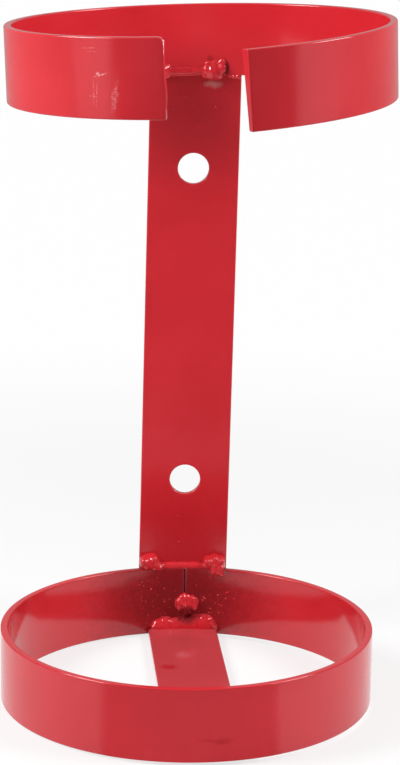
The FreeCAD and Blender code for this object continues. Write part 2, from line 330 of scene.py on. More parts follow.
def right_cut(through, along):
    """A cut out of square: more is left of the inner wall than of the outer one, most of all at the top."""
    high = along / BAR_WIDTH + 0.5
    inner = through / BAR_THICKNESS + 0.5
    return (-(INNER_LEFT_OVER + INNER_MORE_ABOVE * high) * inner
            - (OUTER_LEFT_OVER - OUTER_LESS_ABOVE * high) * (1 - inner))


coil_length = math.radians(LEFT_TURN + RIGHT_TURN) * MID_RADIUS
points, faces = swept_bar(coil_place, coil_length, RING_ROWS, left_cut, right_cut)
upper_hoop = lay_piece("upper_hoop", points, faces, "upper_ring")
print("bar in the upper hoop: %.0f mm" % coil_length)

# %% [markdown]
# ## The base strip
#
# A short straight length of the same bar lies across the bottom of the lower ring, for the cylinder's foot. It
# was laid in by eye, a little to the right of the middle and a few degrees askew, and that is how it stays.

# %% Base strip
STRIP_SKEW, STRIP_OFFSET, STRIP_END_GAP = 2.45, 2.9, 0.2
STRIP_HALF = math.sqrt((INNER_RADIUS - STRIP_END_GAP) ** 2 - (BAR_WIDTH / 2 + STRIP_OFFSET) ** 2)
SKEW_COS, SKEW_SIN = math.cos(math.radians(STRIP_SKEW)), math.sin(math.radians(STRIP_SKEW))


def strip_place(distance, through, along):
    """A straight line along Y, moved aside, turned about the hoop's middle and leant with the hoop."""
    x, y = STRIP_OFFSET + along, distance - STRIP_HALF
    points = np.stack([x * SKEW_COS - y * SKEW_SIN, RING_CENTRE + x * SKEW_SIN + y * SKEW_COS,
                       LOWER_BOTTOM + BAR_THICKNESS / 2 + through], axis=-1)
    return lean(points, LOWER_LEAN, LOWER_BOTTOM)


points, faces = swept_bar(strip_place, 2 * STRIP_HALF, 60)
foot_strip = lay_piece("foot_strip", points, faces, "base_strip")

# %% [markdown]
# ## The back plate
#
# The plate is a sawn length of wider bar with two punched screw holes. A punch drags the metal down with it,
# so each hole has a rolled-over lip in front, a bright straight wall and a slight burr behind. Boolean holes
# in a plane would shade badly. Here the face is laid as patches whose points meet: straight bands, and round
# each hole a patch that goes from a square, step by step, to the circle. Where patches meet, the points are
# the same and are merged. The lip, the walls and the rounded outline are loops of points moved down a profile.

# %% Plate face in patches
HOLE_RADIUS = 5.5
HOLE_HEIGHT = 57.0
LIP = 0.35
FLAT_HALF_WIDTH = PLATE_WIDTH / 2 - EDGE_ROUND
FLAT_HALF_LENGTH = PLATE_LENGTH / 2 - EDGE_ROUND
CORNER = 0.5
COLUMNS = np.concatenate([[-FLAT_HALF_WIDTH, -FLAT_HALF_WIDTH + 0.1, -FLAT_HALF_WIDTH + 0.25],
                          np.linspace(-FLAT_HALF_WIDTH + CORNER, FLAT_HALF_WIDTH - CORNER, 26),
                          [FLAT_HALF_WIDTH - 0.25, FLAT_HALF_WIDTH - 0.1, FLAT_HALF_WIDTH]])


def plate_band(heights):
    """Points (x, z) and faces of a plain band of the face."""
    x, z = np.meshgrid(COLUMNS, heights)
    return np.stack([x, z], axis=-1).reshape(-1, 2), grid_faces(len(heights), len(COLUMNS), wrap=False)


def square_loop(middle):
    """Points round a square as wide as the face, anticlockwise from its lower left corner."""
    side = COLUMNS[:-1]
    corner = np.full(len(side), FLAT_HALF_WIDTH)
    x = np.concatenate([side, corner, -side, -corner])
    z = np.concatenate([-corner, side, corner, -side])
    return np.stack([x, z + middle], axis=-1)


def hole_loop(middle, radius):
    """Points on a circle round the hole, each in the direction of the square's matching point."""
    square = square_loop(0.0)
    length = np.linalg.norm(square, axis=-1, keepdims=True)
    return square / length * radius + (0.0, middle)


def plate_hole_patch(middle):
    """Points that go in even steps from the square to the circle, with one more loop close to the lip."""
    square, circle = square_loop(middle), hole_loop(middle, HOLE_RADIUS + LIP)
    share = np.array([0, 0.02, 0.15, 0.3, 0.45, 0.6, 0.75, 0.88, 0.97, 1.0])[:, None, None]
    points = square * (1 - share) + circle * share
    return points.reshape(-1, 2), grid_faces(len(share), len(square))


def round_corners(points):
    """In each corner's square, slide the points so that the square's outline becomes a quarter circle."""
    over = np.abs(points) - (np.array([FLAT_HALF_WIDTH, FLAT_HALF_LENGTH]) - CORNER)
    corner = (over > 0).all(axis=-1)
    length = np.linalg.norm(over, axis=-1)
    drawn = over * (np.max(over, axis=-1) / np.where(corner, length, 1.0))[..., None]
    return np.where(corner[..., None], np.sign(points) * (np.abs(points) - over + drawn), points)


def end_heights(low, high):
    """Evenly spaced rows with a few more close to the plate's end."""
    near = np.array([0, 0.1, 0.25, CORNER])
    if low < -HOLE_HEIGHT:
        return np.concatenate([low + near, np.linspace(low + CORNER, high, 24)[1:]])
    return np.concatenate([np.linspace(low, high - CORNER, 24)[:-1], high - near[::-1]])


block = FLAT_HALF_WIDTH
bands = [end_heights(-FLAT_HALF_LENGTH, -HOLE_HEIGHT - block),
         np.linspace(-HOLE_HEIGHT + block, HOLE_HEIGHT - block, 50),
         end_heights(HOLE_HEIGHT + block, FLAT_HALF_LENGTH)]
patches = [plate_band(heights) for heights in bands] + [plate_hole_patch(side * HOLE_HEIGHT) for side in (-1, 1)]
print("patches:", [len(patch[0]) for patch in patches])

# %% Plate edges
PLATE_PROFILE = np.array([(EDGE_ROUND * math.sin(a), EDGE_ROUND * (1 - math.cos(a)))
                          for a in np.linspace(0, math.pi / 2, 7)])
PUNCH_PROFILE = np.array([(LIP * math.sin(a), LIP * (1 - math.cos(a))) for a in np.linspace(0, math.pi / 2, 7)])
BURR = 0.12


def plate_outline():
    """The face's outline, anticlockwise from the lower left corner, with the unit direction outwards."""
    heights = np.unique(np.round(np.concatenate(
        bands + [side * HOLE_HEIGHT + COLUMNS for side in (-1, 1)]), 6))
    side, rise = COLUMNS[:-1], heights[:-1]
    right_x, top_z = np.full(len(rise), FLAT_HALF_WIDTH), np.full(len(side), FLAT_HALF_LENGTH)
    x = np.concatenate([side, right_x, -side, -right_x])
    z = np.concatenate([-top_z, rise, top_z, -rise])
    loop = np.stack([x, z], axis=-1)
    over = np.maximum(np.abs(loop) - (np.array([FLAT_HALF_WIDTH, FLAT_HALF_LENGTH]) - CORNER), 0)
    outwards = np.sign(loop) * over
    return round_corners(loop), outwards / np.linalg.norm(outwards, axis=-1, keepdims=True)


def edge_rows(loop, outwards, steps):
    """Rows of (x, y, z) points: the loop moved outwards and back by each step of a profile."""
    rows = [np.stack([loop[:, 0] + outwards[:, 0] * out, np.full(len(loop), PLATE_FRONT + back),
                      loop[:, 1] + outwards[:, 1] * out], axis=-1) for out, back in steps]
    return np.stack(rows)


outline, outwards = plate_outline()
mirrored = np.stack([PLATE_PROFILE[::-1, 0], PLATE_THICKNESS - PLATE_PROFILE[::-1, 1]], axis=-1)
edge_parts = [(edge_rows(outline, outwards, np.concatenate([PLATE_PROFILE, mirrored])), True)]
for side in (-1, 1):
    loop = hole_loop(side * HOLE_HEIGHT, HOLE_RADIUS + LIP)
    inwards = (0.0, side * HOLE_HEIGHT) - loop
    inwards /= np.linalg.norm(inwards, axis=-1, keepdims=True)
    wall = [(LIP, PLATE_THICKNESS * 0.5), (LIP, PLATE_THICKNESS - BURR), (LIP - BURR, PLATE_THICKNESS),
            (0.0, PLATE_THICKNESS)]
    edge_parts.append((edge_rows(loop, inwards, np.concatenate([PUNCH_PROFILE, wall])), False))
print("points on the outline:", len(outline))

# %% Join the plate
all_points, all_faces, start = [], [], 0
for depth, turned in ((PLATE_FRONT, False), (0.0, True)):
    for flat, faces in patches:
        flat = round_corners(flat)
        all_points.append(np.stack([flat[:, 0], np.full(len(flat), depth), flat[:, 1]], axis=-1))
        all_faces.append((faces[:, ::-1] if turned else faces) + start)
        start += len(flat)
for rows, turned in edge_parts:
    faces = grid_faces(rows.shape[0], rows.shape[1])
    all_points.append(rows.reshape(-1, 3))
    all_faces.append((faces[:, ::-1] if turned else faces) + start)
    start += rows.shape[0] * rows.shape[1]


def merge_points(points, faces):
    """Points that lie within a tenth of a micrometre become one, and faces that lose a side become triangles."""
    keys = np.round(points * 1e4).astype(np.int64)
    _, first, number = np.unique(keys, axis=0, return_index=True, return_inverse=True)
    faces = number.reshape(-1)[faces]
    whole = (faces != np.roll(faces, 1, axis=1)).all(axis=1)
    return points[first], faces[whole]


points, faces = merge_points(np.concatenate(all_points), np.concatenate(all_faces))
wall_plate = lay_piece("wall_plate", points, [faces], "back_plate")

# %% [markdown]
# ## Weld beads
#
# The joints are short tacks, laid in several dabs, so each is a row of lumps that have run together. Metaballs
# would melt lumps together too, but they cannot be held to a plate or a wall. Here each bead is a surface seen
# from a line inside it: rays go out all round that line, and each goes on to where it leaves the lumps. The
# distance to the lumps is a smooth blend, so the hollows between them fill up as in molten metal, and two
# waves of a few millimetres and of one millimetre roughen the skin. A ray also stops where the bead would
# come out of the plate's back or of the ring's outer wall.

# %% Bead surface
BLEND = 0.22
RAY_STEPS = 64
RAY_COLUMNS = 104
CAP_ROWS = 28
dabs = np.random.default_rng(11)
WAVES = np.concatenate([dabs.normal(size=(5, 3)) * 1.1, dabs.normal(size=(6, 3)) * 3.4])
WAVE_PHASES = dabs.uniform(0, 2 * np.pi, len(WAVES))
WAVE_HEIGHTS = np.concatenate([np.full(5, 0.055), np.full(6, 0.022)])
TACK_ROUGH, RUN_ROUGH, LOWER_RUN_ROUGH, FILLET_ROUGH, SEAM_ROUGH = 0.45, 0.1, 0.15, 0.5, 1.5


def depth_in_lumps(points, centres, radii, rough):
    """How far outside the lumps a point is, with rough times the waves added.

    The distances to the balls are blended by the log of their summed exponents.
    """
    squares = (points ** 2).sum(axis=-1)[..., None] + (centres ** 2).sum(axis=-1) - 2 * points @ centres.T
    distance = np.sqrt(np.maximum(squares, 0)) - radii
    nearest = distance.min(axis=-1)
    blended = nearest - BLEND * np.log(np.exp((nearest[..., None] - distance) / BLEND).sum(axis=-1))
    return blended + rough * (np.sin(points @ WAVES.T + WAVE_PHASES) * WAVE_HEIGHTS).sum(axis=-1)


def bead_surface(centres, radii, spine, limit, rough):
    """Points and faces of a bead: rays in half spheres at the spine's ends and square to X between them.

    spine holds points in order of x. limit is a function that is above 0 where no bead may be. rough is the
    share of the waves that the bead gets.
    """
    spine = np.asarray(spine, float)
    span = spine[-1, 0] - spine[0, 0]
    cap = np.linspace(0, np.pi / 2, CAP_ROWS)[1:]
    between = np.linspace(0, 1, max(int(span / 0.18), 2))[1:-1] if span else np.zeros(0)
    polar = np.concatenate([cap, np.full(len(between), np.pi / 2), np.pi - cap[::-1]])
    share = np.concatenate([0 * cap, between, 0 * cap + 1])
    round_angle = np.linspace(0, 2 * np.pi, RAY_COLUMNS, endpoint=False)
    x = spine[0, 0] + span * share
    base = np.stack([x, np.interp(x, spine[:, 0], spine[:, 1]), np.interp(x, spine[:, 0], spine[:, 2])], axis=-1)
    base = np.repeat(base[:, None], RAY_COLUMNS, axis=1).reshape(-1, 3)
    sideways = np.sin(polar)[:, None]
    rays = np.stack([np.repeat(-np.cos(polar)[:, None], RAY_COLUMNS, axis=1),
                     sideways * np.cos(round_angle), sideways * np.sin(round_angle)], axis=-1).reshape(-1, 3)
    base = np.concatenate([base, spine[:1], spine[-1:]])
    rays = np.concatenate([rays, [(-1.0, 0.0, 0.0), (1.0, 0.0, 0.0)]])
    steps = np.linspace(0, 2.2 * radii.max() + np.ptp(centres, axis=0).max() / 2, RAY_STEPS)
    along_rays = base[:, None] + rays[:, None] * steps[:, None]
    depth = np.maximum(depth_in_lumps(along_rays, centres, radii, rough), limit(along_rays))
    inside = depth < 0
    last = RAY_STEPS - 2 - np.argmax(inside[:, -2::-1], axis=1)
    pick = np.arange(len(base))
    low, high = depth[pick, last], depth[pick, last + 1]
    reached = steps[last] + (steps[1] - steps[0]) * np.clip(low / (low - high), 0, 1)
    reached = np.where(inside.any(axis=1), reached, steps[1])
    points = base + rays * reached[:, None]
    rows = len(polar)
    faces = [grid_faces(rows, RAY_COLUMNS),
             fan_faces(np.arange(RAY_COLUMNS)[::-1], rows * RAY_COLUMNS),
             fan_faces(np.arange(RAY_COLUMNS) + (rows - 1) * RAY_COLUMNS, rows * RAY_COLUMNS + 1)]
    return points, faces


def wall_depth(across):
    """How far back from the hoop's middle its inner wall lies, this far to one side."""
    return np.sqrt(INNER_RADIUS ** 2 - np.asarray(across) ** 2)


# %% [markdown]
# ## Beads between the plate and the rings
#
# Three lie on the top edge of the lower ring and four under the bottom edge of the upper one. The thin run
# between the two lower tacks is smooth and stands for no solid of the CAD model. A lump is given
# by its place along the joint, its rise above the edge, its radius, and how far it stands out from the ring's
# inner wall. The upper beads follow the ring's slope.

# %% Edge beads
COIL_TILT = -math.degrees(math.atan(COIL_RISE / (2 * math.pi * MID_RADIUS)))


def at_plate(points):
    """Above 0 past a level inside the plate."""
    return points[..., 1] - (PLATE_FRONT + 1.2)


def edge_bead(name, node, lumps, upper, rough=TACK_ROUGH):
    """A bead from lumps of (x, rise, radius, stand-off); behind each lump are more balls as far as the plate."""
    x, rise, radius, proud = np.array(lumps, float).T
    bottom = UPPER_BOTTOM if upper else LOWER_BOTTOM
    edge = UPPER_BOTTOM if upper else LOWER_BOTTOM + BAR_WIDTH
    front = RING_CENTRE + wall_depth(x) + radius - proud
    behind = np.maximum(PLATE_FRONT - front, 0)
    shares = np.array([0.0, 0.5, 1.0])[:, None]
    centres = np.stack([np.repeat(x[None], 3, axis=0), front + behind * shares,
                        np.repeat((edge + rise)[None], 3, axis=0)], axis=-1).reshape(-1, 3)
    radii = (radius * (1 + 0.04 * shares)).reshape(-1)
    centres = lean(centres, COIL_TILT, bottom) if upper else centres
    centres = lean(centres, UPPER_LEAN if upper else LOWER_LEAN, bottom)
    middle = centres.reshape(3, -1, 3)[0]
    middle = middle[np.argsort(middle[:, 0])]
    if np.ptp(x) < 2.5 * radius.max():
        middle = np.repeat(middle.mean(axis=0)[None], 2, axis=0)
    points, faces = bead_surface(centres, radii, middle, at_plate, rough)
    return lay_piece(name, points, faces, node)


# Lumps in millimetres: x, rise above the ring's edge, radius, stand-off from the ring's inner wall
LOWER_LEFT = ((-12.6, 1.8, 2.6, 0.9), (-11.0, 2.1, 2.75, 0.7), (-9.6, 0.8, 2.2, 0.5), (-13.9, 2.7, 1.4, 1.2),
              (-10.2, 3.3, 1.5, 1.0), (-7.9, 0.1, 1.1, 0.6))
LOWER_RIGHT = ((13.4, 1.8, 2.4, 0.9), (11.9, 1.8, 2.5, 0.8), (9.9, 1.3, 2.1, 1.0), (12.3, -0.5, 2.1, 1.1),
               (14.3, -1.5, 1.4, 0.9), (9.4, 2.5, 1.4, 1.3), (12.4, 3.8, 1.1, 1.0), (14.7, 3.1, 1.0, 1.0),
               (14.4, 0.6, 1.2, 1.3))
UPPER_LEFT = ((-11.7, 2.4, 2.5, 2.3), (-10.2, 0.9, 1.5, 1.6), (-13.4, 2.8, 2.3, 1.2), (-10.0, 3.4, 1.2, 1.4))
UPPER_CENTRE = ((6.4, 1.6, 3.0, 2.1), (4.2, 4.2, 1.3, 1.2), (9.2, 4.8, 1.3, 1.3), (9.2, 2.6, 1.7, 1.9),
                (3.6, 2.0, 1.4, 1.5), (5.1, 0.5, 1.9, 1.3), (7.7, 0.6, 2.0, 1.4), (6.6, 3.9, 1.7, 1.2),
                (3.0, 0.2, 1.0, 0.9))
UPPER_RIGHT = ((14.7, -0.4, 0.95, 0.3), (13.2, -0.4, 0.9, 0.25), (11.7, 0.0, 0.85, 0.15))
RUN_LUMPS = 12


def run_lumps(start, end, rise, radius, proud):
    """An even row of equal lumps that rise and fall a little, as the welder's hand did."""
    ripple = 0.12 * np.sin(2.4 * np.arange(RUN_LUMPS))
    return np.stack([np.linspace(start, end, RUN_LUMPS), rise + ripple, np.full(RUN_LUMPS, radius),
                     proud + ripple], axis=-1)


beads = [edge_bead("lower_left_bead", "lower_left_tack", LOWER_LEFT, False),
         edge_bead("lower_right_bead", "lower_right_tack", LOWER_RIGHT, False),
         edge_bead("lower_run_bead", None, run_lumps(-9.0, 9.0, 0.0, 1.45, -0.6), False, LOWER_RUN_ROUGH),
         edge_bead("upper_left_bead", "upper_left_tack", UPPER_LEFT, True),
         edge_bead("upper_run_bead", "upper_bead", run_lumps(-10.4, 3.0, 1.85, 1.5, 0.4), True, RUN_ROUGH),
         edge_bead("upper_centre_bead", "upper_centre_tack", UPPER_CENTRE, True),
         edge_bead("upper_right_bead", "upper_right_tack", UPPER_RIGHT, True)]

# %% [markdown]
# ## Beads on the lower ring's inner wall
#
# A round tack closes the butt seam, and a wide fillet ties the strip's rear end to the ring. Two short tacks
# hold its front end, behind the ring's front wall. They all stand on a curved wall, so their rays stop inside
# the ring's metal instead of at the plate.

# %% Wall beads
SEAM_TACK, SEAM_TACK_HEIGHT = 4.4, 11.3
SEAM_LUMPS = np.array(((-0.05, 0.0, 0.78, 0.62), (0.0, 0.42, 0.55, 0.58), (0.45, 0.12, 0.72, 0.6),
                       (0.2, -0.35, 0.82, 0.5), (-0.38, 0.28, 0.34, 0.66), (0.55, 0.45, 0.33, 0.58),
                       (0.1, 0.7, 0.26, 0.5), (-0.3, -0.25, 0.34, 0.62), (0.7, -0.2, 0.3, 0.6)))
FILLET_PLACES = np.array(((0.0, 0.68), (0.16, 0.9), (0.4, 0.8), (0.58, 0.85), (0.78, 1.05), (1.0, 1.1)))
REAR_DROPS = np.array(((-10.2, 1.2, 0.3, 0.9), (10.9, 0.9, 3.4, 0.85), (11.2, 1.0, 1.4, 0.95)))
FRONT_PLACES = np.array(((0.0, 1.0), (0.8, 0.85)))
STRIP_TOP = LOWER_BOTTOM + BAR_THICKNESS


def in_wall(points):
    """Above 0 past a level inside the ring's wall, and under the strip."""
    radius = np.hypot(points[..., 0], points[..., 1] - RING_CENTRE)
    return np.maximum(radius - (INNER_RADIUS + 1.1), LOWER_BOTTOM + 0.1 - points[..., 2])


def wall_bead(name, node, centres, radii, spine, rough=FILLET_ROUGH):
    """A bead worked out upright and then leant with the lower ring."""
    points, faces = bead_surface(centres, radii, spine, in_wall, rough)
    return lay_piece(name, lean(points, LOWER_LEAN, LOWER_BOTTOM), faces, node)


def strip_bead(name, node, end, start, width, size, proud, places, drops=np.zeros((0, 4))):
    """A fillet at one end of the strip: balls on its top face whose fronts stand proud of the wall.

    drops are small balls on it, each given by x, distance from the wall, height over the strip and radius.
    """
    across = start + width * places[:, 0]
    radii = ((size * places[:, 1]) ** 2 + proud ** 2) / (2 * proud)
    depth = end * (wall_depth(across) + radii - proud)
    centres = np.stack([across * SKEW_COS - depth * SKEW_SIN, RING_CENTRE + across * SKEW_SIN + depth * SKEW_COS,
                        np.full(len(across), STRIP_TOP)], axis=-1)
    order = np.argsort(centres[:, 0])
    spine = centres[order].copy()
    spine[:, 1] = RING_CENTRE + end * (wall_depth(spine[:, 0]) - 0.2)
    spine[:, 2] = STRIP_TOP + 0.3
    drop_places = np.stack([drops[:, 0], RING_CENTRE + end * (wall_depth(drops[:, 0]) - drops[:, 1]),
                            STRIP_TOP + drops[:, 2]], axis=-1)
    centres, radii = np.concatenate([centres, drop_places]), np.concatenate([radii, drops[:, 3]])
    return wall_bead(name, node, centres, radii, spine)


across = SEAM_OFFSET + SEAM_LUMPS[:, 0] * SEAM_TACK
radii = SEAM_LUMPS[:, 2] * SEAM_TACK
centres = np.stack([across, RING_CENTRE + wall_depth(across) + radii - SEAM_LUMPS[:, 3] * SEAM_TACK,
                    LOWER_BOTTOM + SEAM_TACK_HEIGHT + SEAM_LUMPS[:, 1] * SEAM_TACK], axis=-1)
spine = np.repeat([[1.5, RING_CENTRE + INNER_RADIUS - 0.3, LOWER_BOTTOM + SEAM_TACK_HEIGHT + 0.2]], 2, axis=0)
beads.append(wall_bead("seam_bead", "seam_tack", centres, radii, spine, SEAM_ROUGH))
beads.append(strip_bead("rear_fillet", "strip_rear_weld", 1, STRIP_OFFSET - 8.7, 17.4, 4.6, 2.6, FILLET_PLACES,
                        REAR_DROPS))
for side, word in ((-1, "left"), (1, "right")):
    beads.append(strip_bead("front_" + word + "_bead", "strip_front_" + word + "_tack", -1,
                            STRIP_OFFSET + side * 9.1, -side * 3.6, 3.6, 2.2, FRONT_PLACES))

# %% [markdown]
# ## Weld spatter
#
# Droplets thrown off by the arc froze on the ring's inner wall and on the plate, and the paint covers them. A
# particle system could scatter them, but then they would not be part of one closed mesh. A single small dome of
# a few faces is worked out once and set down many times, each with its own size, place and facing.

# %% Spatter
DOME_RINGS, DOME_COLUMNS = 4, 8
SINK = 0.08
WALL_DROPS, PLATE_DROPS = 110, 26
LEAST_DROP, DROP_SPREAD = 0.14, 0.32


def dome():
    """A half ball of radius 1 on a low skirt, closed below; the rings' tilt goes from the rim to the top."""
    tilt = np.linspace(0, np.pi / 2, DOME_RINGS + 1)[:-1]
    angle = np.linspace(0, 2 * np.pi, DOME_COLUMNS, endpoint=False)
    rings = np.stack([np.cos(tilt)[:, None] * np.cos(angle), np.cos(tilt)[:, None] * np.sin(angle),
                      np.repeat(np.sin(tilt)[:, None], DOME_COLUMNS, axis=1)], axis=-1)
    skirt = rings[:1] * (1.25, 1.25, 0.0) - (0.0, 0.0, 0.35)
    points = np.concatenate([skirt, rings]).reshape(-1, 3)
    count = DOME_RINGS + 1
    faces = [grid_faces(count, DOME_COLUMNS),
             np.arange(DOME_COLUMNS)[::-1].reshape(1, -1),
             fan_faces(np.arange(DOME_COLUMNS) + (count - 1) * DOME_COLUMNS, count * DOME_COLUMNS)]
    return np.concatenate([points, [(0.0, 0.0, 1.0)]]), faces


def on_lower_wall(x, height):
    """Places on the lower ring's inner wall behind, with the direction out of the metal."""
    places = np.stack([x, RING_CENTRE + wall_depth(x), height], axis=-1)
    facing = np.stack([-x, RING_CENTRE - places[:, 1], 0 * x], axis=-1) / INNER_RADIUS
    return lean(places, LOWER_LEAN, LOWER_BOTTOM), facing


def set_domes(places, facing, sizes):
    """One mesh of domes, each turned so that its axis points along its facing."""
    shape, shape_faces = dome()
    side = np.cross(facing, [0.0, 0.0, 1.0])
    side /= np.linalg.norm(side, axis=-1, keepdims=True)
    third = np.cross(facing, side)
    scaled = shape[None] * (sizes[:, None, None] * (1.0, 1.0, 0.7))
    points = (places - facing * SINK)[:, None] + (scaled[..., :1] * side[:, None] + scaled[..., 1:2]
                                                  * third[:, None] + scaled[..., 2:] * facing[:, None])
    start = (np.arange(len(places)) * len(shape))[:, None, None]
    faces = [(part[None] + start).reshape(-1, part.shape[1]) for part in shape_faces]
    return points.reshape(-1, 3), faces


throw = np.random.default_rng(5)
x = np.concatenate([throw.normal(-9.5, 4.5, WALL_DROPS // 2), throw.normal(12.5, 4.5, WALL_DROPS // 2)])
height = LOWER_BOTTOM + throw.uniform(3.5, 22.5, WALL_DROPS)
wall_places, wall_facing = on_lower_wall(np.clip(x, -30, 30), height)
plate_places = np.stack([throw.uniform(-14, 14, PLATE_DROPS), np.full(PLATE_DROPS, PLATE_FRONT),
                         np.where(np.arange(PLATE_DROPS) % 2, throw.uniform(-86, -70, PLATE_DROPS),
                                  throw.uniform(70, 86, PLATE_DROPS))], axis=-1)
places = np.concatenate([wall_places, plate_places])
facing = np.concatenate([wall_facing, np.repeat([[0.0, -1.0, 0.0]], PLATE_DROPS, axis=0)])
sizes = LEAST_DROP + DROP_SPREAD * throw.beta(1.3, 3.8, len(places))
points, faces = set_domes(places, facing, sizes)
spatter = lay_piece("weld_spatter", points, faces)

# %% [markdown]
# ## Enamel
#
# The bracket was dipped or sprayed with red gloss enamel after welding. Real gloss paint is never one flat
# colour: its tone drifts by a few percent with the thickness of the coat, its skin has the fine dimples called
# orange peel and longer waves from the bar under it, and dust settles in it as small nibs. The base is a
# Principled shader with a dielectric's IOR. The reflections in the photograph are a little warmer than the
# room, and a faint tint on the specular layer does the same. On top of that come marks: soft or ragged spots
# of another colour, each an ellipsoid at its own place. Some are the paint's own heat marks, burns, smears
# and scuffs; others are painted shade and a painted sheen, for light that the rings and beads cut off or that the
# strip mirrors.

# %% Colour and node helpers
def linear(code):
    """sRGB hex to linear colour: each channel through the sRGB curve."""
    parts = [int(code[place:place + 2], 16) / 255 for place in (1, 3, 5)]
    return tuple(c / 12.92 if c <= 0.04045 else ((c + 0.055) / 1.055) ** 2.4 for c in parts) + (1.0,)


def add_node(tree, kind, inputs=None, **settings):
    """Add a node, set its own settings, and set or link its inputs by name or number."""
    node = tree.nodes.new("ShaderNode" + kind)
    for name, value in settings.items():
        setattr(node, name, value)
    for socket, value in (inputs or {}).items():
        if isinstance(value, bpy.types.NodeSocket):
            tree.links.new(value, node.inputs[socket])
        else:
            node.inputs[socket].default_value = value
    return node


def new_material(name):
    """An empty node material with its output node."""
    material = bpy.data.materials.new(name)
    material.use_nodes = True
    material.node_tree.nodes.clear()
    return material, material.node_tree, add_node(material.node_tree, "OutputMaterial")


# %% Enamel material
ENAMEL_RED = "#CD2932"
ENAMEL_THIN = "#D22D36"
ENAMEL_THICK = "#C8262E"
SCUFF_PALE = "#F0A8AA"
PEEL_SIZE, WAVE_SIZE, DRIFT_SIZE, NIB_SPACING = 1.3, 14.0, 30.0, 7.0      # mm
PEEL_DEPTH, WAVE_DEPTH, NIB_DEPTH = 0.012, 0.12, 0.03                     # mm
GLOSS, BEAD_GLOSS, STRIP_GLOSS, SCUFFED_GLOSS = 0.12, 0.06, 0.16, 0.45    # roughness
BEAD_PEEL = 0.12
SPECULAR_LEVEL, SPECULAR_TINT = 0.62, (1.0, 0.85, 0.88, 1.0)
THICK_BELOW, THIN_ABOVE = 0.3, 0.7


def mark(tree, place, centre, size, ragged=0.35, core=0.45, tilt=0.0):
    """Mask of a spot with a ragged outline: 1 inside a core share of an ellipsoid, falling to 0 at its skin.

    Sizes are half lengths in millimetres, and tilt turns the ellipsoid about Y, in degrees.
    """
    if tilt:
        place = add_node(tree, "VectorRotate", {"Vector": place, "Center": centre, "Angle": math.radians(tilt)},
                         rotation_type="Y_AXIS").outputs[0]
    away = add_node(tree, "VectorMath", {0: place, 1: centre}, operation="SUBTRACT").outputs[0]
    shares = add_node(tree, "VectorMath", {0: away, 1: size}, operation="DIVIDE").outputs[0]
    length = add_node(tree, "VectorMath", {0: shares}, operation="LENGTH").outputs["Value"]
    rag = add_node(tree, "TexNoise", {"Vector": place, "Scale": 0.6, "Detail": 4.0}).outputs["Fac"]
    torn = add_node(tree, "Math", {0: rag, 1: ragged, 2: length}, operation="MULTIPLY_ADD").outputs[0]
    return add_node(tree, "MapRange", {"Value": torn, "From Min": core + ragged / 2, "From Max": 1.0 + ragged / 2,
                                       "To Min": 1.0, "To Max": 0.0}, interpolation_type="SMOOTHSTEP").outputs[0]


